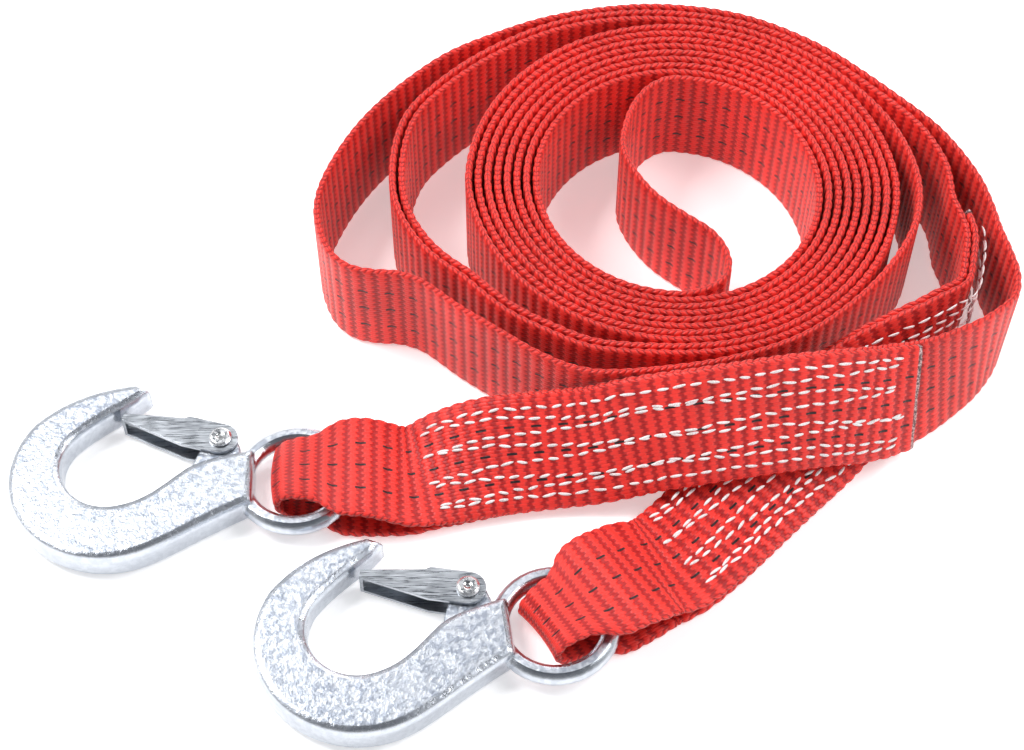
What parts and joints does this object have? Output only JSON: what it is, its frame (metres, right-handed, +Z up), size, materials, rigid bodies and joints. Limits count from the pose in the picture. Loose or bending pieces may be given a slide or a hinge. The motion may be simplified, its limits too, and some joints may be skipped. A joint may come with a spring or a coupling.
{
  "type": "tow strap",
  "caption": "Red webbing tow strap wound on edge in a double coil, with a forged, latched eye hook in the sewn loop at each end.",
  "frame": {"origin": "on the floor, below the middle of the whole strap's box as it lies", "axes": "+Z up, +X from the hooks towards the coil's right side, +Y from the laps towards the back of the coil"},
  "size_m": [0.3382, 0.29, 0.0477],
  "materials": {
    "webbing": "bright red ribbed polyester webbing with black marker dashes",
    "thread": "white polyester seam thread",
    "zinc_forging": "bright zinc-plated forged steel",
    "latch_sheet": "brushed zinc-plated sheet steel",
    "rivet_steel": "bright zinc-plated rivet"
  },
  "bodies": {
    "strap": {"webbing_coil": "webbing", "webbing_far_end": "webbing", "webbing_near_end": "webbing", "far_seam_thread": "thread", "near_seam_thread": "thread"},
    "far_hook_body": {"far_hook": "zinc_forging", "far_rivet": "rivet_steel"},
    "near_hook_body": {"near_hook": "zinc_forging", "near_rivet": "rivet_steel"},
    "far_latch_body": {"far_latch": "latch_sheet"},
    "near_latch_body": {"near_latch": "latch_sheet"}
  },
  "joints": [
    {"name": "far_swing", "type": "hinge", "parent": "strap", "child": "far_hook_body", "pos_m": [-0.05662, -0.04905, 0.00635], "axis": [-0.0436, 0.999, 0], "range_deg": [0, 12]},
    {"name": "near_swing", "type": "hinge", "parent": "strap", "child": "near_hook_body", "pos_m": [0.02537, -0.09479, 0.00635], "axis": [-0.5592, 0.829, 0], "range_deg": [0, 12]},
    {"name": "far_latch_hinge", "type": "hinge", "parent": "far_hook_body", "child": "far_latch_body", "pos_m": [-0.10035, -0.03552, 0.006], "axis": [0, 0, 1], "range_deg": [0, 30], "stiffness_Nm_per_rad": 0.02, "springref_deg": -17.19},
    {"name": "near_latch_hinge", "type": "hinge", "parent": "near_hook_body", "child": "near_latch_body", "pos_m": [-0.01676, -0.09336, 0.006], "axis": [0, 0, 1], "range_deg": [0, 30], "stiffness_Nm_per_rad": 0.02, "springref_deg": -17.19}
  ]
}
